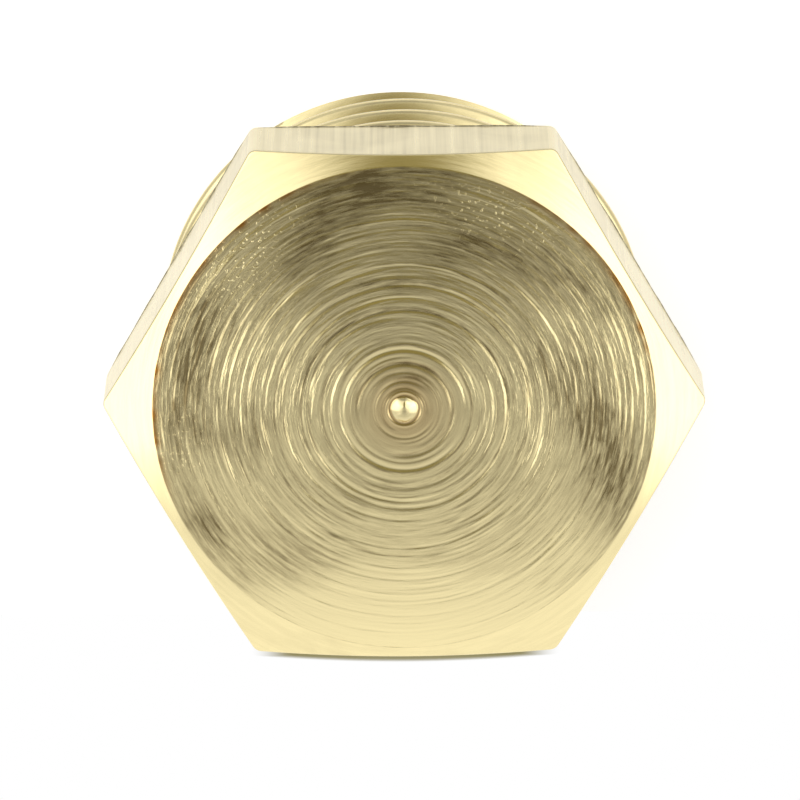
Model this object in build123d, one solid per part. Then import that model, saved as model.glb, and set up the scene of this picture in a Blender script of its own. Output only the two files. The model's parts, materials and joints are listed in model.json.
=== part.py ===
from build123d import *
import math
import os

# Brass threaded plug, turned from hexagon bar: a chamfered hexagon head over a half-inch pipe thread.
# Millimetres and degrees. The axis is +Z, the head is up, and the thread's end stands on Z = 0.
# Two flats of the head face -Y and +Y, and two corners point along -X and +X.

# Head, with the turned face and its chamfer at the top
ACROSS_FLATS = 22.0
CORNER_RADIUS = 0.4
HEAD_HEIGHT = 4.7
FACE_DIAMETER = 21.1
FACE_CHAMFER_ANGLE = 26.0

# Shank, from the end of the thread to the seat under the head
SHANK_LENGTH = 9.3
LEAD_CHAMFER_ANGLE = 45.0
LEAD_CLEARANCE = 0.1
RELIEF_FLOOR_WIDTH = 1.0
RELIEF_SLOPE_ANGLE = 45.0
RELIEF_CLEARANCE = 0.2
RELIEF_CORNER_RADIUS = 0.4

# Parallel pipe thread, right-hand, 14 turns to the inch, with flat crests and roots
THREAD_MAJOR_DIAMETER = 20.955
THREAD_PITCH = 25.4 / 14
THREAD_DEPTH = 1.162
THREAD_FLANK_ANGLE = 55.0
THREAD_START_ANGLE = -96.0
THREAD_OVERCUT = 0.15
THREAD_RUNOUT_CLEARANCE = 0.1

# Sizes that follow from the ones above
seat_height = SHANK_LENGTH
face_height = SHANK_LENGTH + HEAD_HEIGHT
face_radius = FACE_DIAMETER / 2
corner_reach = ACROSS_FLATS / math.sqrt(3)
crest_radius = THREAD_MAJOR_DIAMETER / 2
root_radius = crest_radius - THREAD_DEPTH
relief_radius = root_radius - RELIEF_CLEARANCE
end_radius = root_radius - LEAD_CLEARANCE
relief_corner_radius = min(RELIEF_CORNER_RADIUS, RELIEF_FLOOR_WIDTH / 2)


def head() -> Part:
    """Hexagon bar with broken corners, faced flat and chamfered all round by one cone."""
    section = RegularPolygon(ACROSS_FLATS / 2, 6, major_radius=False)
    section = fillet(section.vertices(), CORNER_RADIUS)
    bar = Pos(0, 0, seat_height) * extrude(section, HEAD_HEIGHT)
    chamfer_drop = (corner_reach - face_radius) * math.tan(math.radians(FACE_CHAMFER_ANGLE))
    outline = Polyline(
        (0, seat_height),
        (corner_reach, seat_height),
        (corner_reach, face_height - chamfer_drop),
        (face_radius, face_height),
        (0, face_height),
        close=True,
    )
    return bar & revolve(Plane.XZ * make_face(outline), Axis.Z)


def shank() -> Part:
    """Turned shank without its thread: a lead-in chamfer at the end and a relief groove under the head."""
    lead_height = (crest_radius - end_radius) * math.tan(math.radians(LEAD_CHAMFER_ANGLE))
    slope_height = (crest_radius - relief_radius) * math.tan(math.radians(RELIEF_SLOPE_ANGLE))
    floor_bottom = seat_height - RELIEF_FLOOR_WIDTH
    outline = Polyline(
        (0, 0),
        (end_radius, 0),
        (crest_radius, lead_height),
        (crest_radius, floor_bottom - slope_height),
        (relief_radius, floor_bottom),
        (relief_radius, seat_height),
        (0, seat_height),
        close=True,
    )
    section = make_face(outline)
    floor_corner = section.vertices().sort_by_distance((relief_radius, floor_bottom))[0]
    section = fillet(floor_corner, relief_corner_radius)
    return revolve(Plane.XZ * section, Axis.Z)


def thread_groove() -> Part:
    """The thread's V groove as one helical solid, from inside the relief groove to past the shank's end."""
    slope = math.tan(math.radians(THREAD_FLANK_ANGLE / 2))
    root_half_width = THREAD_PITCH / 4 - THREAD_DEPTH * slope / 2
    mouth_half_width = root_half_width + (THREAD_DEPTH + THREAD_OVERCUT) * slope
    profile = Polyline(
        (root_radius, -root_half_width),
        (crest_radius + THREAD_OVERCUT, -mouth_half_width),
        (crest_radius + THREAD_OVERCUT, mouth_half_width),
        (root_radius, root_half_width),
        close=True,
    )
    top = seat_height - mouth_half_width - THREAD_RUNOUT_CLEARANCE
    helix = Helix(THREAD_PITCH, top + THREAD_PITCH, root_radius)
    groove = sweep(Plane.XZ * make_face(profile), helix, is_frenet=True)
    return Pos(0, 0, -THREAD_PITCH) * Rot(0, 0, THREAD_START_ANGLE) * groove


def threaded_shank() -> Part:
    """A round rod with the groove cut round it, reduced to the turned shank so that the thread runs out."""
    rod = Pos(0, 0, SHANK_LENGTH / 2) * Cylinder(crest_radius, SHANK_LENGTH)
    return (rod - thread_groove()) & shank()


def plug() -> Part:
    """Head and threaded shank in one piece, with the corner under the seat rounded."""
    body = head() + threaded_shank()
    circles = body.edges().filter_by(GeomType.CIRCLE)
    seat_corner = circles.sort_by_distance((relief_radius, 0, seat_height))[0]
    return fillet(seat_corner, relief_corner_radius)


os.makedirs("parts", exist_ok=True)
export_step(plug(), "parts/plug.step")
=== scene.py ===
"""A brass pipe plug with a turned hexagon head, standing on the end of its thread in a white studio."""

import json
import logging
import math
from dataclasses import dataclass, field
from enum import Enum
from typing import Any

import bmesh
import bpy
import numpy as np
from bpy.types import Material, Mesh, Node, NodeSocket, NodeTree, Object, World
from mathutils import Matrix, Vector


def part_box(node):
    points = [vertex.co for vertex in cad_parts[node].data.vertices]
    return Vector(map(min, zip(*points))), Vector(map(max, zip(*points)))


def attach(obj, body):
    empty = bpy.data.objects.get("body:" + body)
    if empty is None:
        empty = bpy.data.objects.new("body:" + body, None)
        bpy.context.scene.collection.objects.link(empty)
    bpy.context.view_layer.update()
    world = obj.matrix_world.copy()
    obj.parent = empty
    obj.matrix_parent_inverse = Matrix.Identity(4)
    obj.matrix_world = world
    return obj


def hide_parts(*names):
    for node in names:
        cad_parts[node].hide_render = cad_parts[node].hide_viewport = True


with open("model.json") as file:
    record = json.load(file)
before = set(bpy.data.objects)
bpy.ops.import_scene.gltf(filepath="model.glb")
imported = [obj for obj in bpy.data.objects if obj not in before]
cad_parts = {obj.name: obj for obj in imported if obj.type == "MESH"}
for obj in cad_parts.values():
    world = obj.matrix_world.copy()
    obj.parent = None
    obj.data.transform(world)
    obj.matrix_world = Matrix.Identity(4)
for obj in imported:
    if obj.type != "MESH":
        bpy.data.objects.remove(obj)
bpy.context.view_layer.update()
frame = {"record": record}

LOG = logging.getLogger("plug")
MM = 0.001
FULL_TURN = 2 * math.pi
SIXTH = math.radians(60)
HALF_SIXTH = math.radians(30)
WHITE = "#FFFFFF"
Pair = tuple[float, float]

# Attributes painted on the mesh: dirt together with painted shade and painted reflections, amber tarnish,
# how calm the fine marks are, and nicks
SOIL_AND_PAINTED_LIGHT = "soil"
TARNISH = "tarnish"
CALM = "calm"
NICKS = "nicks"
PAINTS = (SOIL_AND_PAINTED_LIGHT, TARNISH, CALM, NICKS)

# Kinds of node that are used often, and the sockets of a Mix node that mixes colours
MATHS = "ShaderNodeMath"
VECTOR = "ShaderNodeVectorMath"
RANGE = "ShaderNodeMapRange"
NOISE = "ShaderNodeTexNoise"
BUMP = "ShaderNodeBump"
SEPARATE = "ShaderNodeSeparateXYZ"
COMBINE = "ShaderNodeCombineXYZ"
PLACE = "ShaderNodeTexCoord"
LIGHT = "ShaderNodeLightPath"
EMISSION = "ShaderNodeEmission"
SKY = "ShaderNodeBackground"
MIX_SHADER = "ShaderNodeMixShader"
MIX = "ShaderNodeMix"
COLOUR_A = 6
COLOUR_B = 7
COLOUR_OUT = 2
SMOOTH = {"interpolation_type": "SMOOTHSTEP"}


class Zone(Enum):
    """The finishes of the plug's surfaces, numbered as their material slots."""

    FACE = 0
    CHAMFER = 1
    FLAT = 2
    THREAD = 3


class Grain(Enum):
    """The way the tool marks run: round the axis on turned brass, along the axis on drawn bar."""

    ROUND = "round"
    ALONG = "along"


def linear(hex_colour: str) -> tuple[float, float, float, float]:
    """Turns an sRGB hex colour into linear light.

    Args:
        hex_colour: Six hex digits after a hash sign.

    Returns:
        Red, green, blue and an alpha of one.
    """
    parts = [int(hex_colour[i : i + 2], 16) / 255 for i in (1, 3, 5)]
    light = [c / 12.92 if c <= 0.04045 else ((c + 0.055) / 1.055) ** 2.4 for c in parts]
    return (light[0], light[1], light[2], 1.0)


def in_metres(lengths: tuple[float, ...]) -> tuple[float, ...]:
    """Turns lengths in millimetres into metres."""
    return tuple(length * MM for length in lengths)


def turn_between(angle: np.ndarray, middle: float) -> np.ndarray:
    """Gives the turn from a middle to each angle, in radians, from minus to plus half a turn."""
    return (angle - middle + math.pi) % FULL_TURN - math.pi


def add_node(
    tree: NodeTree,
    kind: str,
    inputs: dict[str | int, Any] | tuple[Any, ...] = (),
    **settings: Any,
) -> Node:
    """Adds one node with its settings, and fills or links its inputs.

    Args:
        tree: The node tree.
        kind: The node's type name.
        inputs: Values, output sockets or nodes, by input name or number, or in the order of the inputs.
            A node stands for its first output.
        settings: Properties of the node.

    Returns:
        The new node.
    """
    node = tree.nodes.new(kind)
    for name, value in settings.items():
        setattr(node, name, value)
    wanted = inputs if isinstance(inputs, dict) else dict(enumerate(inputs))
    for key, value in wanted.items():
        source = value.outputs[0] if isinstance(value, Node) else value
        if isinstance(source, NodeSocket):
            tree.links.new(source, node.inputs[key])
        else:
            node.inputs[key].default_value = source
    return node


def fresh_tree(owner: Material | World) -> NodeTree:
    """Gives a material or a world an empty node tree.

    Args:
        owner: The material or the world.

    Returns:
        The tree.
    """
    owner.use_nodes = True
    owner.node_tree.nodes.clear()
    return owner.node_tree


@dataclass(frozen=True)
class BrassFinish:
    """Bare leaded brass, a pale greenish-yellow metal, with the marks that one tool left on it.

    The marks are fine grooves, so the shine is drawn out across them. Soil and handling darken it in places,
    and painted shade and painted reflections darken or brighten it.
    Lengths are in millimetres. Real nicks are finer than nick_size, which is as coarse as they need to show.
    """

    name: str
    grain: Grain
    wear: float
    streak: float
    roughness: float
    anisotropy: float
    mark_spacing: float
    mark_depth: float
    mark_turn: float
    patch_size: float
    patch_amount: float
    clean: str = "#F4E4AE"
    soiled_and_shaded: str = "#837450"
    tarnished: str = "#A9752F"
    soiled_roughness: float = 0.12
    cross_grain: float = 0.25
    middle_rate: float = 0.9
    mark_detail: float = 3.0
    mark_fineness: float = 0.6
    mark_band: Pair = (0.3, 0.7)
    mark_level: float = 0.5
    gap_soil: Pair = (0.25, 1.75)
    patch_detail: float = 4.0
    patch_fineness: float = 0.55
    patch_twist: float = 0.6
    dull_band: Pair = (0.45, 0.75)
    blotch_band: Pair = (0.35, 0.65)
    blotch_soil: Pair = (0.82, 1.18)
    nick_size: float = 0.14
    nick_depth: float = 0.022
    nick_band: Pair = (0.66, 0.78)

    def material(self) -> Material:
        """Builds the finish as a node material.

        Returns:
            The material.
        """
        material = bpy.data.materials.new(self.name)
        tree = fresh_tree(material)
        place = add_node(tree, PLACE).outputs["Object"]
        in_mm = add_node(tree, VECTOR, {0: place, "Scale": 1 / MM}, operation="SCALE")
        along = self.mark_coordinates(tree, in_mm)
        grain = {"Detail": self.mark_detail, "Roughness": self.mark_fineness}
        marks = add_node(tree, NOISE, {"Vector": along, "Scale": 1.0, **grain})
        cloud = {"Detail": self.patch_detail, "Roughness": self.patch_fineness}
        cloud |= {"Scale": 1 / self.patch_size, "Distortion": self.patch_twist}
        patches = add_node(tree, NOISE, {"Vector": in_mm, **cloud})
        paint = {
            name: add_node(tree, "ShaderNodeAttribute", attribute_name=name).outputs["Fac"]
            for name in PAINTS
        }

        # Colour and roughness: dirt gathers in the marks and in patches, painted shade and painted
        # reflections from the mesh darken or brighten the colour, and tarnish lies over it
        dullness = add_node(tree, RANGE, (patches, *self.dull_band, 0.0, self.patch_amount), **SMOOTH)
        wear = (self.wear - self.streak, self.wear + self.streak)
        streaks = add_node(tree, RANGE, (marks, *self.mark_band, *wear))
        blotches = add_node(tree, RANGE, (patches, *self.blotch_band, *self.blotch_soil))
        gaps = add_node(tree, RANGE, (marks, *self.mark_band, *self.gap_soil))
        held_and_painted_light = add_node(tree, MATHS, (paint[SOIL_AND_PAINTED_LIGHT], blotches), operation="MULTIPLY")
        worn_and_painted_light = add_node(tree, MATHS, (held_and_painted_light, gaps, streaks), operation="MULTIPLY_ADD")
        darkness = add_node(tree, MATHS, (worn_and_painted_light, dullness), operation="ADD", use_clamp=True)
        colours = {COLOUR_A: linear(self.clean), COLOUR_B: linear(self.soiled_and_shaded)}
        darkened = add_node(tree, MIX, {0: darkness, **colours}, data_type="RGBA").outputs[COLOUR_OUT]
        colours = {COLOUR_A: darkened, COLOUR_B: linear(self.tarnished)}
        colour = add_node(tree, MIX, {0: paint[TARNISH], **colours}, data_type="RGBA").outputs[COLOUR_OUT]
        soiled_roughness = self.roughness + self.soiled_roughness
        rough = add_node(tree, RANGE, (darkness, 0.0, 1.0, self.roughness, soiled_roughness))

        # Relief: the marks, fainter where the face is calm, and the nicks over them
        cut = add_node(tree, RANGE, (paint[CALM], 0.0, 1.0, marks, self.mark_level))
        scored = add_node(tree, BUMP, {"Height": cut, "Distance": self.mark_depth * MM, "Strength": 1.0})
        grit = add_node(tree, NOISE, {"Vector": in_mm, "Scale": 1 / self.nick_size, "Detail": 0.0})
        nick = add_node(tree, RANGE, (grit, *self.nick_band, 0.0, paint[NICKS]), **SMOOTH)
        depth = {"Distance": self.nick_depth * MM, "Strength": 1.0}
        bump = add_node(tree, BUMP, {"Height": nick, "Normal": scored, **depth})

        surface = {"Base Color": colour, "Metallic": 1.0, "Roughness": rough, "Normal": bump}
        surface |= {"Anisotropic": self.anisotropy, "Anisotropic Rotation": self.cross_grain}
        if self.grain is Grain.ROUND:
            surface["Tangent"] = add_node(tree, "ShaderNodeTangent", direction_type="RADIAL", axis="Z")
        shader = add_node(tree, "ShaderNodeBsdfPrincipled", surface)
        add_node(tree, "ShaderNodeOutputMaterial", {"Surface": shader})
        return material

    def mark_coordinates(self, tree: NodeTree, in_mm: Node) -> Node:
        """Stretches space so that plain noise becomes long marks in the direction of the grain.

        Args:
            tree: The material's node tree.
            in_mm: The place on the piece in millimetres.

        Returns:
            The coordinates for a noise of scale one.
        """
        across = 1 / self.mark_spacing
        if self.grain is Grain.ALONG:
            return add_node(tree, VECTOR, (in_mm, (across, across, self.mark_turn)), operation="MULTIPLY")
        parts = add_node(tree, SEPARATE, (in_mm,)).outputs
        flat = add_node(tree, COMBINE, (parts["X"], parts["Y"]))
        radius = add_node(tree, VECTOR, (flat,), operation="LENGTH").outputs["Value"]
        by_turn = add_node(tree, MATHS, (self.mark_turn, radius), operation="DIVIDE")
        by_length = add_node(tree, MATHS, (by_turn, self.middle_rate), operation="MINIMUM")
        arc = add_node(tree, VECTOR, {0: flat, "Scale": by_length}, operation="SCALE")
        depth = add_node(tree, MATHS, (radius, parts["Z"]), operation="ADD")
        step = add_node(tree, MATHS, (depth, across), operation="MULTIPLY")
        rise = add_node(tree, COMBINE, {"Z": step})
        return add_node(tree, VECTOR, (arc, rise), operation="ADD")


FINISHES = {
    # Faced on a lathe: round grooves that fan the shine out from the middle, with dull soil between them.
    # Real feed marks lie closer, and these are as coarse as they need to show.
    Zone.FACE: BrassFinish(
        name="brass_faced_on_a_lathe", grain=Grain.ROUND, wear=0.165, streak=0.1,
        roughness=0.16, anisotropy=0.35, mark_spacing=0.13, mark_depth=0.026,
        mark_turn=9.0, patch_size=2.2, patch_amount=0.06,
    ),
    # Chamfered in one light cut: smoother than the face, so it shows as one bright clean band.
    # Its fine lines are drawn coarser than real ones.
    Zone.CHAMFER: BrassFinish(
        name="brass_chamfered_on_a_lathe", grain=Grain.ROUND, wear=0.04, streak=0.06,
        roughness=0.2, anisotropy=0.5, mark_spacing=0.12, mark_depth=0.008,
        mark_turn=4.0, patch_size=3.0, patch_amount=0.08,
    ),
    # Drawn through a die: paler and softer in its shine than turned brass, with faint lines along the bar
    Zone.FLAT: BrassFinish(
        name="brass_drawn_hexagon_bar", grain=Grain.ALONG, wear=0.05, streak=0.02,
        roughness=0.26, anisotropy=0.0, mark_spacing=0.25, mark_depth=0.003,
        mark_turn=0.06, patch_size=3.5, patch_amount=0.08,
        clean="#F3E7BE", soiled_and_shaded="#7F7354",
    ),
    # Cut with a threading tool: bright crests and darker flanks, with faint lines that follow the thread.
    # They are drawn coarser than real ones.
    Zone.THREAD: BrassFinish(
        name="brass_cut_thread", grain=Grain.ROUND, wear=0.12, streak=0.08,
        roughness=0.22, anisotropy=0.3, mark_spacing=0.12, mark_depth=0.004,
        mark_turn=8.0, patch_size=1.5, patch_amount=0.08,
    ),
}


def add_finishes(mesh: Mesh) -> None:
    """Gives a mesh the material slots of all finishes, in the order of the zones.

    Args:
        mesh: The mesh, without slots.
    """
    for finish in FINISHES.values():
        mesh.materials.append(bpy.data.materials[finish.name])


def closed_grid(
    name: str,
    radius: np.ndarray,
    angle: np.ndarray,
    height: np.ndarray,
    zones: list[Zone],
    ends: tuple[bool, bool],
    paint: dict[str, np.ndarray] | None = None,
) -> Mesh:
    """Makes a round mesh from rows of points, each row once round the axis.

    Args:
        name: The mesh's name.
        radius: Radii in millimetres, rows by columns.
        angle: The columns' angles in radians.
        height: Heights in millimetres, rows by columns.
        zones: The finish of the strip after each row.
        ends: Whether the first and the last row close in a fan on the axis.
        paint: Values of named attributes, rows by columns, or nothing on clean metal.

    Returns:
        The mesh, in metres, with all material slots.
    """
    rows, columns = radius.shape
    points = np.stack([radius * np.cos(angle), radius * np.sin(angle), height], axis=-1).reshape(-1, 3) * MM
    verts = [tuple(p) for p in points]
    faces: list[tuple[int, ...]] = []
    slots: list[int] = []
    for i in range(rows - 1):
        low, high = i * columns, (i + 1) * columns
        for j in range(columns):
            k = (j + 1) % columns
            faces.append((low + j, low + k, high + k, high + j))
            slots.append(zones[i].value)
    for row, wanted, zone in ((0, ends[0], zones[0]), (rows - 1, ends[1], zones[-1])):
        if not wanted:
            continue
        verts.append((0.0, 0.0, float(height[row].mean()) * MM))
        for j in range(columns):
            a, b = row * columns + j, row * columns + (j + 1) % columns
            faces.append((len(verts) - 1, b, a) if row == 0 else (len(verts) - 1, a, b))
            slots.append(zone.value)
    mesh = bpy.data.meshes.new(name)
    mesh.from_pydata(verts, [], faces)
    add_finishes(mesh)
    mesh.polygons.foreach_set("material_index", slots)
    for attribute in PAINTS:
        layer = mesh.attributes.new(attribute, "FLOAT", "POINT")
        values = np.zeros(len(verts), dtype=np.float32)
        if paint:
            values[: paint[attribute].size] = paint[attribute].ravel()
        layer.data.foreach_set("value", values)
    mesh.update()
    return mesh


@dataclass
class GridRows:
    """Rows of points round the axis, gathered one by one with their finish and their paint."""

    points: list[np.ndarray] = field(default_factory=list)
    zones: list[Zone] = field(default_factory=list)
    paints: list[dict[str, Any]] = field(default_factory=list)

    def add(self, radius: Any, height: Any, zone: Zone, **paint: Any) -> None:
        """Adds one row.

        Args:
            radius: Radii in millimetres, one for each column or one for all.
            height: Heights, in the same way.
            zone: The finish of the strip after the row.
            paint: Values of the painted attributes, which are zero where none is given.
        """
        self.points.append(np.stack(np.broadcast_arrays(radius, height), axis=-1))
        self.zones.append(zone)
        self.paints.append(paint)

    def mesh(self, name: str, angle: np.ndarray) -> Mesh:
        """Makes the mesh of all rows, closed in a fan at the last one.

        Args:
            name: The mesh's name.
            angle: The columns' angles in radians.

        Returns:
            The mesh.
        """
        shape = (len(angle), 2)
        grid = np.stack([np.broadcast_to(row, shape) for row in self.points])
        paint = {
            layer: np.stack([np.broadcast_to(row.get(layer, 0.0), len(angle)) for row in self.paints])
            for layer in PAINTS
        }
        return closed_grid(name, grid[..., 0], angle, grid[..., 1], self.zones, (False, True), paint)


def rounded_corner(
    before: np.ndarray, corner: np.ndarray, after: np.ndarray, radius: float, steps: int
) -> np.ndarray:
    """Rounds the corner of an outline that runs through three points.

    Args:
        before: Points before the corner, columns by two (radius and height).
        corner: The corners.
        after: Points after the corner.
        radius: The rounding's radius in millimetres.
        steps: The number of points less one.

    Returns:
        Points on the rounding, steps + 1 by columns by two.
    """
    into = (before - corner) / np.linalg.norm(before - corner, axis=-1, keepdims=True)
    out = (after - corner) / np.linalg.norm(after - corner, axis=-1, keepdims=True)
    half = np.arccos(np.clip(np.sum(into * out, axis=-1, keepdims=True), -1, 1)) / 2
    bisector = (into + out) / np.linalg.norm(into + out, axis=-1, keepdims=True)
    centre = corner + bisector * radius / np.sin(half)
    start = corner + into * radius / np.tan(half) - centre
    end = corner + out * radius / np.tan(half) - centre
    turn = np.pi - 2 * half
    points = []
    for share in np.linspace(0, 1, steps + 1):
        blend = np.sin((1 - share) * turn) * start + np.sin(share * turn) * end
        points.append(centre + blend / np.sin(turn))
    return np.stack(points)


@dataclass(frozen=True)
class FacePatch:
    """A soft patch on the face, darker or brighter, with its middle to the right and up on the head, in
    millimetres.
    """

    right: float
    up: float
    half_length: float
    half_width: float
    turn: float
    amount: float
    edge: float = 1.0

    def over(self, x: np.ndarray, y: np.ndarray) -> np.ndarray:
        """Spreads the patch over the face.

        Args:
            x: Points along the frame's X, in millimetres.
            y: Points along the frame's Y.

        Returns:
            How much darker the patch makes each point.
        """
        turn = math.radians(self.turn)
        right = -x - self.right
        up = -y - self.up
        along = (right * math.cos(turn) + up * math.sin(turn)) / self.half_length
        across = (up * math.cos(turn) - right * math.sin(turn)) / self.half_width
        return self.amount * np.exp(-((along**2 + across**2) ** self.edge))


@dataclass(frozen=True)
class ToolMark:
    """One groove or ridge of the facing tool: an arc round the axis, with the soil that it holds."""

    radius: float
    width: float
    steepness: float
    middle: float
    span: float
    dirt: float


@dataclass(frozen=True)
class MarkFamily:
    """A kind of tool mark, with the ring of the face that it lies in and its usual sizes in millimetres."""

    count: int
    inner: float
    outer: float
    length: float
    width: float
    steepness: float
    dirt: float
    width_range: Pair = (0.7, 1.3)
    dirt_range: Pair = (-0.6, 1.0)
    steepness_spread: float = 0.55
    steepness_most: float = 3.5
    length_spread: float = 0.6
    span_most: float = 3.2

    def draw(self, random: np.random.Generator) -> list[ToolMark]:
        """Draws the marks of this kind.

        Args:
            random: The seeded source of chance.

        Returns:
            The marks.
        """
        marks = []
        for _ in range(self.count):
            radius = math.sqrt(random.uniform(self.inner**2, self.outer**2))
            steepness = min(self.steepness_most, random.lognormal(0, self.steepness_spread)) * self.steepness
            width = self.width * random.uniform(*self.width_range)
            steepness *= random.choice((1, -1))
            middle = random.uniform(0, FULL_TURN)
            span = min(self.span_most, random.lognormal(0, self.length_spread) * self.length / (2 * radius))
            dirt = self.dirt * random.uniform(*self.dirt_range)
            marks.append(ToolMark(radius, width, steepness, middle, span, dirt))
        return marks


@dataclass
class TurnedFace:
    """The faced end of the head: rings and broken marks of the tool, the pip it left, and painted dark and
    bright reflections.
    """

    seed: int = 7
    # Radius, width, steepness, middle and span of the arc in radians, and dirt
    rings: tuple[ToolMark, ...] = (
        ToolMark(0.62, 0.05, 0.2, 1.6, 3.6, 0.35),
        ToolMark(0.74, 0.05, -0.2, 1.6, 3.6, -0.2),
        ToolMark(0.95, 0.06, 0.14, 5.2, 2.2, 0.1),
        ToolMark(1.25, 0.07, 0.15, 0.2, 2.4, -0.05),
        ToolMark(1.45, 0.05, 0.14, 3.0, 1.6, 0.15),
        ToolMark(1.65, 0.1, 0.1, 4.1, 2.2, 0.05),
        ToolMark(2.02, 0.12, 0.16, 3.8, 2.5, 0.45),
        ToolMark(2.3, 0.07, 0.14, 0.4, 2.0, 0.1),
        ToolMark(2.62, 0.1, 0.2, 6.0, 2.8, -0.15),
        ToolMark(2.82, 0.07, -0.1, 3.3, 2.6, 0.45),
        ToolMark(3.12, 0.08, 0.1, 0.3, 1.4, 0.05),
        ToolMark(3.45, 0.11, 0.12, 1.2, 2.0, 0.2),
        ToolMark(4.05, 0.08, 0.14, 0.2, 1.7, 0.0),
        ToolMark(4.35, 0.09, 0.16, 2.6, 2.9, 0.2),
        ToolMark(4.87, 0.08, 0.18, 6.1, 1.9, 0.0),
        ToolMark(5.45, 0.08, 0.14, 4.2, 2.3, 0.15),
        ToolMark(6.1, 0.07, 0.12, 2.8, 1.8, 0.1),
        ToolMark(6.9, 0.07, 0.14, 0.1, 1.0, 0.0),
        ToolMark(6.45, 0.06, 0.14, 1.45, 0.5, 0.1),
        ToolMark(7.05, 0.06, -0.14, 1.7, 0.4, 0.0),
        ToolMark(7.5, 0.07, 0.16, 1.5, 0.55, 0.12),
        ToolMark(7.85, 0.06, 0.14, 1.75, 0.3, 0.08),
        ToolMark(8.2, 0.06, -0.14, 1.5, 0.4, 0.1),
        ToolMark(8.6, 0.06, 0.14, 1.8, 0.25, 0.12),
        ToolMark(9.1, 0.06, 0.12, 1.6, 0.35, 0.1),
    )
    families: tuple[MarkFamily, ...] = (
        MarkFamily(count=70, inner=2.9, outer=8.0, length=5.0, width=0.06, steepness=0.085, dirt=0.32),
        MarkFamily(count=1900, inner=3.0, outer=10.4, length=1.2, width=0.052, steepness=0.1, dirt=0.22),
    )
    mark_reach: float = 4.0
    arc_fade: float = 0.1
    arc_ends: float = 3.0
    exponent_limit: float = 40.0
    side_depth: float = 1.5
    end_depth: float = 0.45
    ring_end_depth: float = 1.1
    front_calm: float = 0.3
    calm_radius: float = 1.0
    calm_fade: float = 3.0
    calm_least: float = 0.15
    pip_radius: float = 0.54
    pip_height: float = 0.18
    pip_flat: float = 0.16
    pip_clean: float = 0.02
    pip_power: int = 4
    pip_ridge: float = 0.75
    # Size, number and start of the waves in the pip's outline
    pip_waves: tuple[tuple[float, int, float], ...] = ((0.04, 2, 0.6), (0.05, 3, 2.0), (0.02, 7, 0.0))
    # Painted reflections, laid into the dirt as dark patches where the amount is above nought and bright
    # ones below it: right, up, half length, half width, turn in degrees, amount and edge
    painted_reflections: tuple[FacePatch, ...] = (
        FacePatch(-0.8, 9.6, 3.0, 1.0, 4, 0.6),
        FacePatch(-3.5, 7.8, 2.6, 1.1, 52, 0.5),
        FacePatch(-8.7, 2.6, 3.2, 1.0, 73, 0.72),
        FacePatch(-7.6, -0.9, 2.2, 1.2, 0, 0.36),
        FacePatch(-8.3, -5.2, 2.4, 0.8, -57, 0.4),
        FacePatch(-4.8, -6.5, 2.2, 1.0, -32, 0.18, 2.0),
        FacePatch(5.4, 6.2, 4.2, 1.0, -27, 0.45),
        FacePatch(8.6, -2.4, 3.2, 1.2, -82, 0.75),
        FacePatch(7.0, 0.6, 1.8, 0.9, 90, 0.32),
        FacePatch(5.8, 2.4, 1.6, 0.9, 112, 0.2),
        FacePatch(1.6, 6.8, 1.8, 0.8, 0, 0.25),
        FacePatch(0.1, 5.3, 0.9, 0.25, 0, 0.3),
        FacePatch(0.3, 1.3, 0.8, 0.5, 0, 0.25),
        FacePatch(3.1, 0.8, 1.0, 0.4, 105, -0.2),
        FacePatch(-6.8, 7.0, 2.0, 0.8, 45, -0.2),
        FacePatch(6.6, -6.6, 2.5, 1.2, 45, -0.2),
        FacePatch(1.2, -10.9, 8.0, 4.0, -8, -0.3, 5.0),
    )
    knocks: tuple[FacePatch, ...] = (
        FacePatch(-9.4, -1.3, 1.4, 0.9, 80, 0.7),
        FacePatch(-7.2, 6.2, 3.6, 1.4, 49, 0.42),
        FacePatch(3.6, 8.3, 3.2, 1.2, -22, 0.3),
    )
    warm_radius: float = 1.6
    warm_tarnish: float = 0.4

    def short_marks(self) -> list[ToolMark]:
        """Draws the shorter marks between the rings, the same on each run."""
        random = np.random.default_rng(self.seed)
        return [mark for family in self.families for mark in family.draw(random)]

    def strength(self, angle: np.ndarray) -> np.ndarray:
        """Gives the strength of the marks round the face, which are fainter on the +Y side."""
        return 1 - self.front_calm * np.clip(np.sin(angle), 0, 1)

    def depth(self, angle: np.ndarray, end_depth: float) -> np.ndarray:
        """Gives the depth of the marks round the face, from the depth at the front and back."""
        return (end_depth + (self.side_depth - end_depth) * np.cos(angle) ** 2) * self.strength(angle)

    def relief(self, radius: np.ndarray, angle: np.ndarray) -> tuple[np.ndarray, ...]:
        """Cuts the marks into the face, paints the dark and bright reflections on it and raises the pip.

        Args:
            radius: The rows' radii in millimetres.
            angle: The columns' angles in radians.

        Returns:
            Heights above the face in millimetres, dirt with the painted reflections in it, how calm the fine
            marks are, and nicks.
        """
        height = np.zeros((len(radius), len(angle)))
        soil = np.zeros_like(height)
        strength = self.strength(angle)
        limit = self.exponent_limit
        for marks, end_depth in ((self.rings, self.ring_end_depth), (self.short_marks(), self.end_depth)):
            depth = self.depth(angle, end_depth)
            for mark in marks:
                off = np.abs(turn_between(angle, mark.middle))
                fade = min(self.arc_fade, mark.span / self.arc_ends)
                arc = 1 / (1 + np.exp(np.clip((off - mark.span) / fade, -limit, limit)))
                near = np.abs(radius - mark.radius) < self.mark_reach * mark.width
                across = np.exp(-(((radius[near] - mark.radius) / mark.width) ** 2))
                height[near] -= mark.steepness * mark.width * np.outer(across, arc * depth)
                soil[near] += mark.dirt * np.outer(across, arc * strength)
        x = np.outer(radius, np.cos(angle))
        y = np.outer(radius, np.sin(angle))
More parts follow.
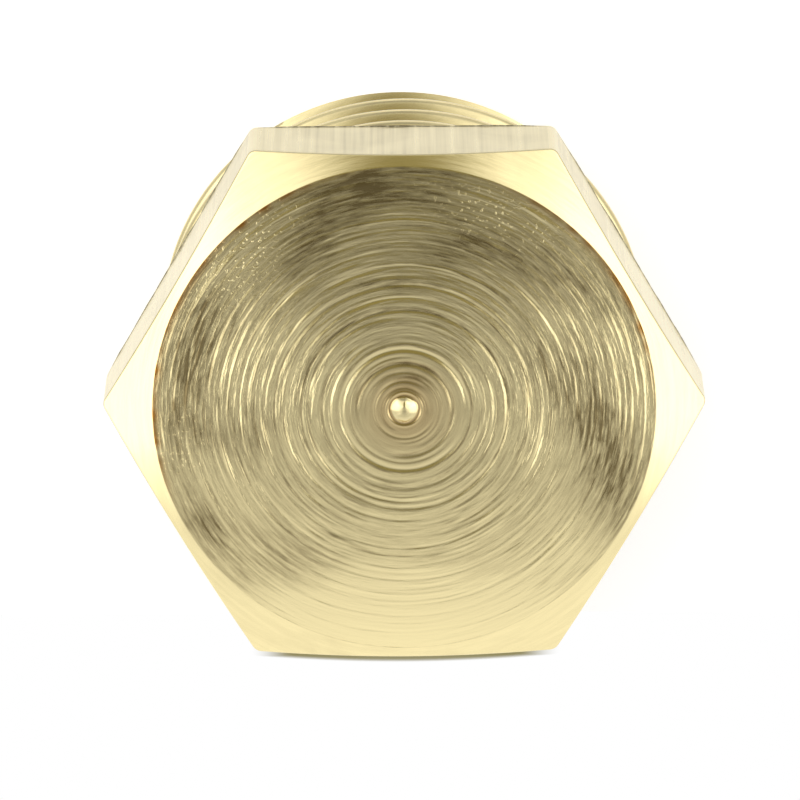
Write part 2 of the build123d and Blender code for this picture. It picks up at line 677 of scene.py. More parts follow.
        # Painted reflections: dark and bright patches added to the dirt, standing in for the dark and bright
        # surroundings that the face mirrors
        for painted_reflection in self.painted_reflections:
            soil += painted_reflection.over(x, y)
        share = radius[:, None] / (self.pip_radius * self.lumps(angle))
        flat = self.pip_flat * np.maximum(self.pip_radius + y, 0)
        ridge = (np.sqrt(x**2 + flat**2) - flat) / self.pip_radius
        pip = np.clip(1 - share**self.pip_power, 0, 1)
        height += self.pip_height * pip * (1 - self.pip_ridge * ridge)
        rough = np.clip((radius - self.calm_radius) / self.calm_fade, self.calm_least, 1)
        calm = 1 - np.outer(rough, self.depth(angle, self.end_depth) / self.side_depth)
        nicks = sum(knock.over(x, y) for knock in self.knocks)
        return height, np.where(pip > 0, self.pip_clean, soil), calm, nicks

    def warmth(self, radius: float) -> float:
        """Gives the amber tint that the hot tool left round the middle."""
        return self.warm_tarnish * math.exp(-((radius / self.warm_radius) ** 2)) * (radius > self.pip_radius)

    def lumps(self, angle: np.ndarray) -> np.ndarray:
        """Gives the pip its slightly uneven outline, as shares of its radius."""
        return sum((size * np.cos(count * angle + start) for size, count, start in self.pip_waves), 1)


@dataclass
class HexHead:
    """The hexagon head: drawn flats with burred lower edges, a turned chamfer and a faced end."""

    across_flats: float
    seat: float
    face: float
    neck: list[Pair]
    turned: TurnedFace = field(default_factory=TurnedFace)
    corner_radius: float = 0.4
    face_radius: float = 10.55
    chamfer_angle: float = 26.0
    edge_radius: float = 0.1
    rim_radius: float = 0.12
    round_steps: int = 4
    seed: int = 8
    # Rows and columns of the mesh, and where rows lie as shares of their surface
    flat_columns: int = 25
    corner_columns: int = 6
    corner_step: float = 0.05
    corner_margin: float = 1e-4
    face_rows: int = 330
    seat_shares: tuple[float, ...] = (0.25, 0.5, 0.75, 0.97)
    flat_shares: tuple[float, ...] = (0.04, 0.35, 0.65, 0.93)
    chamfer_shares: tuple[float, ...] = (0.04, 0.35, 0.65, 0.96)
    # Uneven edges: waves of a size and a number to a turn, drawn by chance
    waves: int = 14
    wave_size: Pair = (0.1, 0.25)
    wave_start: float = 6.28
    # The burr, with the shares of its reach and its height that outline it
    burr: float = 0.06
    burr_height: float = 0.12
    burr_profile: tuple[Pair, ...] = (
        (0.0, 0.0), (0.8, 0.02), (1.0, 0.2), (0.8, 0.6), (0.2, 0.9), (0.0, 1.0)
    )
    burr_waves: tuple[int, int] = (5, 60)
    burr_mean: float = 0.75
    burr_swing: float = 0.35
    burr_limits: Pair = (0.2, 1.3)
    burr_end: float = 29.0
    burr_fade: float = 5.0
    # Painted shade on the burr: a dark line along the flats' lower edges, where the head meets the shank
    burr_shade: float = 0.8
    burr_least: float = 0.005
    # Painted shade on the flats, darkest on the -Y side
    flat_shade_amount: float = 0.16
    flat_least: float = 0.2
    flat_power: int = 3
    # Uneven painted shade and tarnish on the face's rim, with the middle and half width of tarnished
    # stretches in degrees
    rim_waves: tuple[int, int] = (9, 70)
    rim_mean: float = 0.8
    rim_swing: float = 0.6
    rim_most: float = 1.6
    rim_shade: float = 0.35
    rim_shade_mean: float = 0.7
    rim_shade_swing: float = 0.9
    rim_reach: float = 0.4
    rim_tarnish: float = 0.9
    rim_stretches: tuple[Pair, ...] = ((-35, 38), (-145, 28), (5, 14))
    rim_power: int = 4

    def columns(self) -> np.ndarray:
        """Works out the columns' angles, closer together round the six corners.

        Returns:
            Angles in radians, once round.
        """
        apothem = self.across_flats / 2
        reach = apothem * math.tan(HALF_SIXTH) - self.corner_radius * math.tan(HALF_SIXTH)
        inside = reach - self.corner_step
        spread = np.concatenate([[-reach], np.linspace(-inside, inside, self.flat_columns)])
        on_flat = np.arctan(spread / apothem)
        edge = math.atan(reach / apothem)
        in_corner = np.linspace(edge, SIXTH - edge, self.corner_columns, endpoint=False)
        sector = np.concatenate([on_flat, in_corner])
        return np.concatenate([sector + math.radians(60 * k + 30) for k in range(6)])

    @property
    def corner_turn(self) -> float:
        """The turn from the middle of a flat to where its rounded corner starts, in radians."""
        return math.atan(math.tan(HALF_SIXTH) * (1 - self.corner_radius / (self.across_flats / 2)))

    def from_flat(self, angle: np.ndarray) -> np.ndarray:
        """Gives the turn from the middle of the nearest flat, in radians."""
        return np.abs(angle % SIXTH - HALF_SIXTH)

    def rim(self, angle: np.ndarray) -> np.ndarray:
        """Gives the distance of the rounded hexagon from the axis.

        Args:
            angle: Angles in radians.

        Returns:
            Distances in millimetres.
        """
        apothem = self.across_flats / 2
        from_flat = self.from_flat(angle)
        flat = apothem / np.cos(from_flat)
        centre = (apothem - self.corner_radius) / math.cos(HALF_SIXTH)
        from_corner = HALF_SIXTH - from_flat
        inside = np.maximum(self.corner_radius**2 - (centre * np.sin(from_corner)) ** 2, 0)
        corner = centre * np.cos(from_corner) + np.sqrt(inside)
        return np.where(from_flat <= self.corner_turn, flat, corner)

    def ripple(self, seed: int, counts: tuple[int, int], angle: np.ndarray) -> np.ndarray:
        """Adds up waves round the head for an uneven edge.

        Args:
            seed: The seed of the source of chance.
            counts: The least and the most waves to a turn.
            angle: The columns' angles.

        Returns:
            The sum, about zero.
        """
        random = np.random.default_rng(seed)
        ripple = np.zeros_like(angle)
        for _ in range(self.waves):
            size = random.uniform(*self.wave_size)
            count = random.integers(*counts)
            ripple += size * np.cos(count * angle + random.uniform(0, self.wave_start))
        return ripple

    def rim_tone(self, angle: np.ndarray) -> tuple[np.ndarray, np.ndarray]:
        """Tones the face's rim: uneven painted shade, darkest on the -Y side and none on the +Y side, and
        tarnished amber in three stretches.

        Args:
            angle: The columns' angles.

        Returns:
            Painted shade and tarnish.
        """
        ripple = self.ripple(self.seed + 1, self.rim_waves, angle)
        uneven = np.clip(self.rim_mean + self.rim_swing * ripple, 0, self.rim_most)
        side = np.clip(self.rim_shade_mean - self.rim_shade_swing * np.sin(angle), 0, 1)
        soil = self.rim_shade * side * uneven
        tarnish = np.zeros_like(angle)
        for middle, half in self.rim_stretches:
            off = np.degrees(turn_between(angle, math.radians(middle)))
            tarnish += np.exp(-((off / half) ** self.rim_power))
        return soil, self.rim_tarnish * np.clip(tarnish, 0, 1) * uneven

    def burr_shape(self, angle: np.ndarray) -> np.ndarray:
        """Gives the uneven reach of the burr along the flats' lower edges, dying out towards the corners.

        Args:
            angle: The columns' angles.

        Returns:
            Shares of the burr's full reach.
        """
        ripple = self.ripple(self.seed, self.burr_waves, angle)
        left = math.radians(self.burr_end) - self.from_flat(angle)
        fade = np.clip(left / math.radians(self.burr_fade), 0, 1)
        return np.clip(self.burr_mean + self.burr_swing * ripple, *self.burr_limits) * fade

    def mesh(self) -> Mesh:
        """Builds the head, open at the ring where the neck joins the shank.

        Returns:
            The mesh.
        """
        angle = self.columns()
        rim = self.rim(angle)
        one = np.ones_like(angle)
        drop = (rim - self.face_radius) * math.tan(math.radians(self.chamfer_angle))
        seat_edge = np.stack([rim, self.seat * one], axis=-1)
        chamfer_edge = np.stack([rim, self.face - drop], axis=-1)
        face_edge = np.stack([self.face_radius * one, self.face * one], axis=-1)
        middle = np.stack([0 * one, self.face * one], axis=-1)
        edge = rounded_corner(seat_edge, chamfer_edge, face_edge, self.edge_radius, self.round_steps)
        rim_arc = rounded_corner(chamfer_edge, face_edge, middle, self.rim_radius, self.round_steps)
        rows = GridRows()

        # Neck and seat
        for radius, height in self.neck:
            rows.add(radius, height, Zone.THREAD)
        joint = self.neck[-1][0]
        for share in self.seat_shares:
            rows.add(joint + (rim - joint) * share, self.seat, Zone.THREAD)

        # Flats, from the burr up to the rounded edge of the chamfer
        lip = self.burr * self.burr_shape(angle)
        # Painted shade on the flats, darkest on the -Y side and none on the rounded corners
        fall = np.clip(-np.sin(angle), 0, 1) ** self.flat_power
        darkened = self.flat_shade_amount * (self.flat_least + (1 - self.flat_least) * fall)
        flat_shade = np.where(self.from_flat(angle) < self.corner_turn - self.corner_margin, darkened, 0)
        for out, up in self.burr_profile:
            # The burr rows take painted shade, a dark line where the head meets the shank, over the flats'
            # painted shade
            soil = np.where(lip > self.burr_least, self.burr_shade * out, 0) + flat_shade
            rows.add(rim + out * lip, self.seat + up * self.burr_height, Zone.FLAT, soil=soil)
        base = self.seat + self.burr_height
        for share in self.flat_shares:
            rows.add(rim, base + (self.face - drop - base) * share, Zone.FLAT, soil=flat_shade)
        for step, points in enumerate(edge):
            zone = Zone.FLAT if step < self.round_steps / 2 else Zone.CHAMFER
            rows.add(*points.T, zone, soil=flat_shade if step == 0 else 0)

        # Chamfer and the rounded rim of the face
        for share in self.chamfer_shares:
            rows.add(*(edge[-1] + (rim_arc[0] - edge[-1]) * share).T, Zone.CHAMFER)
        # The rim takes uneven painted shade, none on the +Y side, and amber tarnish; both reach a little way
        # onto the face
        rim_shade, rim_tarnish = self.rim_tone(angle)
        for step, points in enumerate(rim_arc):
            on_face = step > self.round_steps / 2
            tarnish = rim_tarnish if step >= self.round_steps / 2 else 0
            zone = Zone.FACE if on_face else Zone.CHAMFER
            rows.add(*points.T, zone, soil=rim_shade if on_face else 0, tarnish=tarnish)

        # Turned face
        inner = float(rim_arc[-1][0, 0])
        radii = inner * np.linspace(1, 0, self.face_rows + 1)[1:-1]
        for radius, mark, soil, calm, nicks in zip(radii, *self.turned.relief(radii, angle)):
            nearness = np.clip(1 - (inner - radius) / self.rim_reach, 0, 1) ** 2
            paint = {SOIL_AND_PAINTED_LIGHT: soil + rim_shade * nearness, CALM: calm, NICKS: nicks}
            paint[TARNISH] = rim_tarnish * nearness + self.turned.warmth(radius)
            rows.add(radius, self.face + mark, Zone.FACE, **paint)
        return rows.mesh("hex_head", angle)


def outward(mesh: Mesh) -> Mesh:
    """Points all the faces of a closed mesh outwards.

    Args:
        mesh: The mesh to change.

    Returns:
        The same mesh.
    """
    work = bmesh.new()
    work.from_mesh(mesh)
    bmesh.ops.recalc_face_normals(work, faces=work.faces)
    work.to_mesh(mesh)
    work.free()
    return mesh


# Inputs of the tree that winds the thread, by the type of their sockets
THREAD_INPUTS = {
    "NodeSocketFloat": (
        "Crest Radius", "Root Radius", "Sharp Height", "Crest Round", "Pitch", "Bottom", "Start Angle"
    ),
    "NodeSocketInt": ("Turns", "Segments", "Profile Points"),
    "NodeSocketMaterial": ("Finish",),
}

# A point's number over the points in a column is nudged up, so that it doesn't round to the column before
NUDGE = 0.0005

# A point this close to the first or the last full turn, in turns, belongs to the closed end
END_MARGIN = 0.0001

# How the thread is wound, one node to a row: the result, the operation, and its terms, which are inputs of
# the tree, earlier results or numbers
THREAD_STEPS = (
    # The grid: a column for each segment of each turn, a row for each point of the profile
    ("steps", "MULTIPLY", "Turns", "Segments"),
    ("columns", "ADD", "steps", 1.0),
    ("rows", "ADD", "Profile Points", 1.0),
    ("ratio", "DIVIDE", "index", "rows"),
    ("nudged", "ADD", "ratio", NUDGE),
    ("column", "FLOOR", "nudged"),
    ("column start", "MULTIPLY", "column", "rows"),
    ("row", "SUBTRACT", "index", "column start"),
    # The helix: turns round the axis, and turns risen along it
    ("turn", "DIVIDE", "column", "Segments"),
    ("share", "DIVIDE", "row", "Profile Points"),
    ("swept", "MULTIPLY", "turn", FULL_TURN),
    ("angle", "ADD", "swept", "Start Angle"),
    ("risen", "ADD", "turn", "share"),
    # The profile: a sharp V, rounded at the crest and the root
    ("centred", "MULTIPLY_ADD", "share", 2.0, -1.0),
    ("from root", "ABSOLUTE", "centred"),
    ("to crest", "SUBTRACT", "from root", 0.5),
    ("both radii", "ADD", "Crest Radius", "Root Radius"),
    ("middle", "MULTIPLY", "both radii", 0.5),
    ("sharp", "MULTIPLY_ADD", "to crest", "Sharp Height", "middle"),
    ("topped", "SMOOTH_MIN", "sharp", "Crest Radius", "Crest Round"),
    ("radius", "SMOOTH_MAX", "topped", "Root Radius", "Crest Round"),
    # The ends: points of the first and the last part turn are drawn in to the axis, level with a full turn
    ("above", "GREATER_THAN", "risen", 1.0 + END_MARGIN),
    ("last", "SUBTRACT", "Turns", END_MARGIN),
    ("below", "LESS_THAN", "risen", "last"),
    ("kept", "MULTIPLY", "above", "below"),
    ("out", "MULTIPLY", "radius", "kept"),
    ("low", "MAXIMUM", "risen", 1.0),
    ("level", "MINIMUM", "low", "Turns"),
    ("z", "MULTIPLY_ADD", "level", "Pitch", "Bottom"),
    ("cosine", "COSINE", "angle"),
    ("sine", "SINE", "angle"),
    ("x", "MULTIPLY", "out", "cosine"),
    ("y", "MULTIPLY", "out", "sine"),
)


@dataclass
class ThreadedShank:
    """The shank: a helical pipe thread between a lead-in chamfer and a rounded relief groove."""

    crest_radius: float
    seat: float
    pitch: float = 25.4 / 14
    depth: float = 1.162
    flank_angle: float = 55.0
    start_angle: float = -96.0
    lead_clearance: float = 0.1
    relief_floor: float = 1.0
    relief_clearance: float = 0.2
    relief_corner: float = 0.4
    relief_slope: float = 45.0
    relief_steps: int = 4
    crest_round: float = 0.16
    # How far the outline stands proud of the crests, and the height below the seam that counts as the seam
    proud: float = 0.05
    seam_margin: float = 0.001
    neck_rows: int = 7
    end_rows: int = 24
    end_least: float = 0.02
    cap_share: float = 0.5
    # The rod is wound from below the shank to above it, in turns, and welded at its ends, in millimetres
    turns_below: float = 2.5
    spare_turns: int = 4
    end_weld: float = 1e-4
    segments: int = 240
    profile_points: int = 24

    @property
    def root_radius(self) -> float:
        """The radius at the bottom of the thread."""
        return self.crest_radius - self.depth

    @property
    def relief_radius(self) -> float:
        """The radius of the relief groove's floor."""
        return self.root_radius - self.relief_clearance

    def neck(self) -> list[Pair]:
        """Outlines the rounded corner between the relief groove and the seat.

        Returns:
            Radii and heights in millimetres, from the groove up to the seat.
        """
        outline = []
        for turn in np.linspace(0, math.radians(90), self.neck_rows):
            radius = self.relief_radius + self.relief_corner * (1 - math.cos(turn))
            outline.append((radius, self.seat - self.relief_corner * (1 - math.sin(turn))))
        return outline

    def thread_tree(self) -> NodeTree:
        """Builds the Geometry Nodes tree that winds a grid into a threaded rod with closed ends.

        Returns:
            The node tree, with a named input for each size.
        """
        tree = bpy.data.node_groups.new("threaded_rod", "GeometryNodeTree")
        tree.interface.new_socket("Geometry", in_out="OUTPUT", socket_type="NodeSocketGeometry")
        for kind, names in THREAD_INPUTS.items():
            for name in names:
                tree.interface.new_socket(name, in_out="INPUT", socket_type=kind)
        found: dict[Any, Any] = {socket.name: socket for socket in add_node(tree, "NodeGroupInput").outputs}
        found["index"] = add_node(tree, "GeometryNodeInputIndex")
        for name, operation, *terms in THREAD_STEPS:
            inputs = tuple(found.get(term, term) for term in terms)
            found[name] = add_node(tree, MATHS, inputs, operation=operation)
        counts = {"Vertices X": found["columns"], "Vertices Y": found["rows"]}
        grid = add_node(tree, "GeometryNodeMeshGrid", counts)
        place = add_node(tree, COMBINE, (found["x"], found["y"], found["z"]))
        wound = add_node(tree, "GeometryNodeSetPosition", {"Geometry": grid, "Position": place})
        weld = {"Geometry": wound, "Distance": self.end_weld * MM}
        welded = add_node(tree, "GeometryNodeMergeByDistance", weld)
        real = add_node(tree, "GeometryNodeRealizeInstances", {"Geometry": welded})
        dressed = add_node(tree, "GeometryNodeSetMaterial", {"Geometry": real, "Material": found["Finish"]})
        add_node(tree, "NodeGroupOutput", (dressed,))
        return tree

    def rod(self) -> Mesh:
        """Winds the threaded rod, longer than the shank at both ends.

        Returns:
            A closed mesh with all material slots.
        """
        slope = math.tan(math.radians(self.flank_angle / 2))
        values = {
            "Crest Radius": self.crest_radius * MM,
            "Root Radius": self.root_radius * MM,
            "Sharp Height": self.pitch / (2 * slope) * MM,
            "Crest Round": self.crest_round * MM,
            "Pitch": self.pitch * MM,
            "Bottom": -self.turns_below * self.pitch * MM,
            "Start Angle": math.radians(self.start_angle),
            "Turns": math.ceil(self.seat / self.pitch) + self.spare_turns,
            "Segments": self.segments,
            "Profile Points": self.profile_points,
            "Finish": bpy.data.materials[FINISHES[Zone.THREAD].name],
        }
        holder = bpy.data.objects.new("threaded_rod", bpy.data.meshes.new("threaded_rod"))
        bpy.context.scene.collection.objects.link(holder)
        modifier = holder.modifiers.new("wind", "NODES")
        modifier.node_group = self.thread_tree()
        for item in modifier.node_group.interface.items_tree:
            if item.in_out == "INPUT":
                modifier[item.identifier] = values[item.name]
        wound = bpy.data.meshes.new_from_object(holder.evaluated_get(bpy.context.evaluated_depsgraph_get()))
        bpy.data.objects.remove(holder)
        wound.materials.clear()
        add_finishes(wound)
        wound.polygons.foreach_set("material_index", [Zone.THREAD.value] * len(wound.polygons))
        return outward(wound)

    def envelope(self, angle: np.ndarray) -> Mesh:
        """Turns the shank's outline, a little outside the thread's crests.

        Args:
            angle: The columns' angles, shared with the head.

        Returns:
            A closed mesh, whose top is the seam with the head.
        """
        end = self.root_radius - self.lead_clearance
        outer = self.crest_radius + self.proud
        floor = self.seat - self.relief_floor
        outline = [(end * share, 0.0) for share in np.linspace(self.end_least, 1, self.end_rows)]
        outline += [(outer, outer - end), (outer, floor - (outer - self.relief_radius))]
        bend = self.relief_corner * math.tan(math.radians(self.relief_slope / 2))
        slope = math.radians(self.relief_slope)
        for step in range(self.relief_steps + 1):
            left = slope - math.radians(self.relief_slope * step / self.relief_steps)
            radius = self.relief_radius + self.relief_corner * (1 - math.cos(left))
            outline.append((radius, floor + bend - self.relief_corner * math.sin(left)))
        joint, level = self.neck()[0]
        outline += [(joint, level), (joint * self.cap_share, level)]
        one = np.ones_like(angle)
        radius = np.stack([r * one for r, _ in outline])
        height = np.stack([z * one for _, z in outline])
        strips = self.end_rows - 1
        zones = [Zone.FACE] * strips + [Zone.THREAD] * (len(outline) - strips)
        return outward(closed_grid("shank_outline", radius, angle, height, zones, (True, True)))

    def mesh(self, angle: np.ndarray) -> Mesh:
        """Cuts the threaded rod to the shank's outline, open where the head joins.

        Args:
            angle: The columns' angles, shared with the head.

        Returns:
            The mesh.
        """
        rod = bpy.data.objects.new("rod", self.rod())
        outline = bpy.data.objects.new("outline", self.envelope(angle))
        for holder in (rod, outline):
            bpy.context.scene.collection.objects.link(holder)
        cut = rod.modifiers.new("turn", "BOOLEAN")
        cut.operation = "INTERSECT"
        cut.solver = "EXACT"
        cut.object = outline
        bpy.context.view_layer.update()
        mesh = bpy.data.meshes.new_from_object(rod.evaluated_get(bpy.context.evaluated_depsgraph_get()))
        for holder in (rod, outline):
            bpy.data.objects.remove(holder)
        work = bmesh.new()
        work.from_mesh(mesh)
        level = (self.neck()[0][1] - self.seam_margin) * MM
        seam = [f for f in work.faces if all(v.co.z > level for v in f.verts)]
        bmesh.ops.delete(work, geom=seam, context="FACES")
        work.to_mesh(mesh)
        work.free()
        return mesh


@dataclass
class Plug:
    """The whole plug: head and shank welded into one closed mesh that stands for the CAD solid."""

    name: str = "plug_body"
    node: str = "plug"
    sharp_angle: float = 40.0
    weld: float = 2e-7
    head: HexHead = field(init=False)
    shank: ThreadedShank = field(init=False)

    def __post_init__(self) -> None:
        """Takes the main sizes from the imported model."""
        low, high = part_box(self.node)
        mounts = {mount["name"]: mount for mount in frame["record"]["mounts"]}
        seat = mounts["seat"]["pos_m"][2] / MM
        self.shank = ThreadedShank(crest_radius=mounts["thread"]["dims"]["r_mm"], seat=seat)
        across_flats = (high[1] - low[1]) / MM
        self.head = HexHead(across_flats=across_flats, seat=seat, face=high[2] / MM, neck=self.shank.neck())

    def build(self) -> Object:
        """Welds head and shank, shades them and hands the piece to the frame.

        Returns:
            The finished object.
        """
        for finish in FINISHES.values():
            finish.material()
        work = bmesh.new()
        for part in (self.head.mesh(), self.shank.mesh(self.head.columns())):
            work.from_mesh(part)
            LOG.info("%s has %d faces", part.name, len(part.polygons))
        bmesh.ops.remove_doubles(work, verts=work.verts, dist=self.weld)
        bmesh.ops.recalc_face_normals(work, faces=work.faces)
        mesh = bpy.data.meshes.new(self.name)
        work.to_mesh(mesh)
        LOG.info("open edges: %d", sum(not e.is_manifold for e in work.edges))
        work.free()
        add_finishes(mesh)
        mesh.shade_smooth()
        mesh.set_sharp_from_angle(angle=math.radians(self.sharp_angle))
        piece = bpy.data.objects.new(self.name, mesh)
        bpy.context.scene.collection.objects.link(piece)
        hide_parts(self.node)
        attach(piece, "root")
        return piece


@dataclass(frozen=True)
class PhotoCamera:
    """The photograph's camera, found from the head's edges, the face's circle and the thread's crests."""

    distance: float = 328.7
    tilt: float = 17.02
    roll: float = 0.33
    focal_pixels: float = 7851.0
    face_centre: Pair = (404.3, 409.5)
    frame_pixels: float = 800.0
    sensor: float = 36.0
    nearest: float = 10.0

    def place(self, face: float) -> Object:
        """Puts the camera over the face, with the front flat at the top of the picture.

        Args:
            face: The height of the plug's face in millimetres.

        Returns:
            The camera.
        """
        tilt = math.radians(self.tilt)
        ahead = Vector((0, math.sin(tilt), -math.cos(tilt)))
        up = Vector((0, -math.cos(tilt), -math.sin(tilt)))
        up = Matrix.Rotation(math.radians(self.roll), 3, ahead) @ up
        right = ahead.cross(up)
        target = Vector((0, 0, face))
        eye = target - ahead * self.distance
        per_pixel = self.distance / self.focal_pixels
        shift_x, shift_y = ((c - self.frame_pixels / 2) * per_pixel for c in self.face_centre)
        aim = target - right * shift_x + up * shift_y
        ahead = (aim - eye).normalized()
        right = ahead.cross(up).normalized()
        up = right.cross(ahead)
        data = bpy.data.cameras.new("photo_camera")
        data.sensor_width = self.sensor
        data.lens = self.focal_pixels / self.frame_pixels * self.sensor
        data.clip_start = self.nearest * MM
        camera = bpy.data.objects.new("photo_camera", data)
        axes = Matrix((right, up, -ahead)).transposed().to_4x4()
        camera.matrix_world = Matrix.Translation(eye * MM) @ axes
        bpy.context.scene.collection.objects.link(camera)
        bpy.context.scene.camera = camera
        return camera


def add_sheet(
    name: str, corners: list[tuple[float, float, float]], material: Material
) -> Object:
    """Puts one flat sheet into the scene.

    Args:
        name: The name of the object and its mesh.
        corners: Four corners in metres.
        material: The sheet's material.

    Returns:
        The object.
    """
    mesh = bpy.data.meshes.new(name)
    mesh.from_pydata(corners, [], [(0, 1, 2, 3)])
    mesh.materials.append(material)
    sheet = bpy.data.objects.new(name, mesh)
    bpy.context.scene.collection.objects.link(sheet)
    return sheet


@dataclass(frozen=True)
class Studio:
    """A white tent with a dim opening on the camera's side, a pale floor and a white card beside the plug.

    The card leans on the head's lower edge in the picture, as a table would under a plug that lies on it.
    Lengths are in millimetres, angles in degrees, and the floor's and the lamp's sizes in metres.
    """

    head_reach: float
    seat: float
    face: float
    floor_size: float = 6.0
    floor_level: float = -0.00002
    floor_colour: str = "#E6E6E6"
    floor_glow: float = 0.58
    floor_mirrored: float = 0.48
    floor_sides: float = 0.58
    floor_sides_band: Pair = (8.0, 13.0)
    floor_far: float = 0.08
    floor_far_band: Pair = (16.0, 38.0)
    tent: float = 1.75
    horizon: float = 0.5
    horizon_band: Pair = (0.35, 0.75)
    sides: float = 1.8
    sides_band: Pair = (1.6, 2.2)
    opening: str = "#90885C"
    opening_lean: float = 10.0
    opening_width: float = 18.0
    opening_length: float = 46.0
    soft_edge: float = 0.35
    fill: float = 0.5
    card_slope: float = 0.035
    card_width: float = 400.0
    card_bottom: float = 8.0
    card_top: float = 130.0
    card_near: float = 1.08
    card_fall: float = 62.0
    card_sides: float = 2.1
    card_sides_band: Pair = (13.0, 32.0)
    card_low: float = 0.5
    card_low_band: Pair = (13.0, 20.0)
    contact_reach: float = 0.28
    contact_power: float = 1.6
    contact_samples: int = 8
    contact_colour: str = "#7C7015"
    contact_fade: Pair = (4.5, 6.6)
    lamp_size: float = 0.9
    lamp_power: float = 4.0
    lamp_place: tuple[float, float, float] = (0.1, -0.4, 0.9)

    def floor(self) -> Object:
        """Lays the floor, which looks white to the camera and in the metal and still takes a soft shadow.

        Returns:
            The floor.
        """
        # White studio floor: matt, with a glow that keeps it white to the camera and lights the metal nearby
        material = bpy.data.materials.new("white_studio_floor")
        tree = fresh_tree(material)
        light = add_node(tree, LIGHT).outputs
        place = add_node(tree, PLACE).outputs["Object"]
        away = add_node(tree, VECTOR, (place,), operation="LENGTH").outputs["Value"]
        sideways = add_node(tree, SEPARATE, (place,)).outputs["X"]
        aside = add_node(tree, MATHS, (sideways,), operation="ABSOLUTE")
        levels = (self.floor_mirrored, self.floor_sides)
        near = add_node(tree, RANGE, (aside, *in_metres(self.floor_sides_band), *levels), **SMOOTH)
        levels = (near, self.floor_far)
        lit = add_node(tree, RANGE, (away, *in_metres(self.floor_far_band), *levels), **SMOOTH)
        mirrored = add_node(tree, MATHS, (light["Is Glossy Ray"], lit), operation="MULTIPLY")
        matt = add_node(tree, "ShaderNodeBsdfDiffuse", {"Color": linear(self.floor_colour)})
        seen = (light["Is Camera Ray"], self.floor_glow, mirrored)
        glow = add_node(tree, MATHS, seen, operation="MULTIPLY_ADD")
        white = add_node(tree, EMISSION, {"Strength": glow})
        both = add_node(tree, "ShaderNodeAddShader", (matt, white))
        add_node(tree, "ShaderNodeOutputMaterial", {"Surface": both})
        half = self.floor_size / 2
        corners = [(x * half, y * half, self.floor_level) for x, y in ((-1, -1), (1, -1), (1, 1), (-1, 1))]
        floor = add_sheet("studio_floor", corners, material)
        return floor

    def card(self) -> Object:
        """Leans the white card on the head, brightest beside the plug and at its sides, clear from behind.

        Returns:
            The card.
        """
        # White card: plain white to the camera with a soft contact shade, and a bright sheet in the metal
        material = bpy.data.materials.new("white_card_paper")
        tree = fresh_tree(material)
        place = add_node(tree, PLACE).outputs["Object"]
        parts = add_node(tree, SEPARATE, (place,)).outputs
        fall = -1 / (self.card_fall * MM)
        power = add_node(tree, MATHS, (parts["Z"], fall, -self.face * MM * fall), operation="MULTIPLY_ADD")
        faded = add_node(tree, MATHS, (power,), operation="EXPONENT")
        middle = add_node(tree, MATHS, (faded, self.card_near), operation="MULTIPLY")
        across = add_node(tree, MATHS, (parts["X"],), operation="ABSOLUTE")
        levels = (self.card_low, self.card_sides)
        sides = add_node(tree, RANGE, (parts["Z"], *in_metres(self.card_low_band), *levels), **SMOOTH)
        level = add_node(tree, RANGE, (across, *in_metres(self.card_sides_band), middle, sides), **SMOOTH)
        mirrored = add_node(tree, EMISSION, {"Strength": level})
        reach = {"Distance": self.contact_reach * MM}
        contact = add_node(tree, "ShaderNodeAmbientOcclusion", reach, samples=self.contact_samples)
        fade = add_node(tree, RANGE, (across, *in_metres(self.contact_fade)), **SMOOTH)
        deep = add_node(tree, MATHS, (contact.outputs["AO"], self.contact_power), operation="POWER")
        shade = add_node(tree, MATHS, (deep, fade), operation="MAXIMUM")
        colours = {COLOUR_A: linear(self.contact_colour), COLOUR_B: linear(WHITE)}
        tint = add_node(tree, MIX, {0: shade, **colours}, data_type="RGBA").outputs[COLOUR_OUT]
        paper = add_node(tree, EMISSION, {"Color": tint})
        light = add_node(tree, LIGHT).outputs
        front = add_node(tree, MIX_SHADER, (light["Is Camera Ray"], mirrored, paper))
        clear = add_node(tree, "ShaderNodeBsdfTransparent")
        behind = add_node(tree, "ShaderNodeNewGeometry").outputs["Backfacing"]
        sheet = add_node(tree, MIX_SHADER, (behind, front, clear))
        add_node(tree, "ShaderNodeOutputMaterial", {"Surface": sheet})
        half = self.card_width / 2 * MM
        bottom, top = in_metres((self.card_bottom, self.card_top))
        low = (self.head_reach + (self.card_bottom - self.seat) * self.card_slope) * MM
        high = (self.head_reach + (self.card_top - self.seat) * self.card_slope) * MM
        corners = [(-half, low, bottom), (half, low, bottom), (half, high, top), (-half, high, top)]
        card = add_sheet("white_card", corners, material)
        card.visible_diffuse = False
        card.visible_shadow = False
        return card

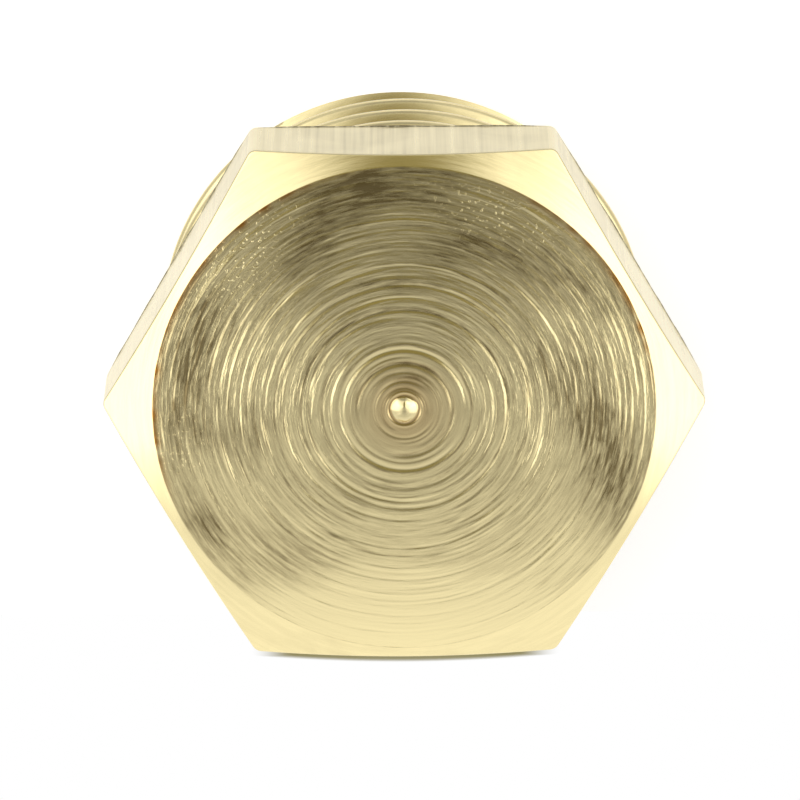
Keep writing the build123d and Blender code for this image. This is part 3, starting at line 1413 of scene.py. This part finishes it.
    def world(self) -> World:
        """Paints the tent: white to the camera, even fill on matt surfaces, and the opening in reflections.

        Returns:
            The world.
        """
        world = bpy.data.worlds.new("white_tent")
        tree = fresh_tree(world)
        way = add_node(tree, PLACE).outputs["Generated"]
        lean = math.radians(self.opening_lean)
        axes = {
            "ahead": (0.0, -math.sin(lean), math.cos(lean)),
            "side": (1.0, 0.0, 0.0),
            "length": (0.0, math.cos(lean), math.sin(lean)),
        }
        parts = {
            name: add_node(tree, VECTOR, (way, axis), operation="DOT_PRODUCT").outputs["Value"]
            for name, axis in axes.items()
        }
        shares = []
        for name, half in (("side", self.opening_width), ("length", self.opening_length)):
            off = add_node(tree, MATHS, (parts[name], parts["ahead"]), operation="ARCTAN2")
            shares.append(add_node(tree, MATHS, (off, math.radians(half)), operation="DIVIDE"))
        pair = add_node(tree, COMBINE, tuple(shares))
        reach = add_node(tree, VECTOR, (pair,), operation="LENGTH").outputs["Value"]
        share = add_node(tree, RANGE, (reach, 1 - self.soft_edge, 1 + self.soft_edge), **SMOOTH)
        dim = add_node(tree, SKY, {"Color": linear(self.opening)})
        rise = add_node(tree, SEPARATE, (way,)).outputs["Z"]
        level = add_node(tree, RANGE, (rise, *self.horizon_band, self.horizon, self.tent), **SMOOTH)
        boost = add_node(tree, RANGE, (reach, *self.sides_band, 1.0, self.sides), **SMOOTH)
        lit = add_node(tree, MATHS, (level, boost), operation="MULTIPLY")
        cloth = add_node(tree, SKY, {"Strength": lit})
        even = add_node(tree, SKY, {"Strength": self.fill})
        white = add_node(tree, SKY, {"Strength": 1.0})
        light = add_node(tree, LIGHT).outputs
        mirrored = add_node(tree, MIX_SHADER, (share, dim, cloth))
        unseen = add_node(tree, MIX_SHADER, (light["Is Glossy Ray"], even, mirrored))
        seen = add_node(tree, MIX_SHADER, (light["Is Camera Ray"], unseen, white))
        add_node(tree, "ShaderNodeOutputWorld", {"Surface": seen})
        bpy.context.scene.world = world
        return world

    def lamp(self) -> Object:
        """Hangs one broad soft lamp on the camera's side for the floor's shadow, out of sight of the metal.

        Returns:
            The lamp.
        """
        data = bpy.data.lights.new("overhead_softbox", "AREA")
        data.shape = "DISK"
        data.size = self.lamp_size
        data.energy = self.lamp_power
        lamp = bpy.data.objects.new("overhead_softbox", data)
        lamp.location = self.lamp_place
        lamp.rotation_euler = (Vector((0, 0, 0)) - lamp.location).to_track_quat("-Z", "Y").to_euler()
        lamp.visible_camera = False
        lamp.visible_glossy = False
        bpy.context.scene.collection.objects.link(lamp)
        return lamp


def main() -> None:
    """Builds the plug, the studio and the camera in order, and logs the face counts and the camera's place.
    """
    logging.basicConfig(level=logging.INFO, format="%(name)s: %(message)s")
    plug = Plug()
    piece = plug.build()
    LOG.info("piece %s: %d faces", piece.name, len(piece.data.polygons))
    studio = Studio(head_reach=plug.head.across_flats / 2, seat=plug.head.seat, face=plug.head.face)
    for thing in (studio.floor(), studio.card(), studio.world(), studio.lamp()):
        LOG.info("studio: %s", thing.name)
    camera = PhotoCamera().place(plug.head.face)
    LOG.info("camera: %s at %s", camera.name, tuple(round(c, 4) for c in camera.location))
    view = bpy.context.scene.view_settings
    view.view_transform = "Standard"


if __name__ == "__main__":
    main()
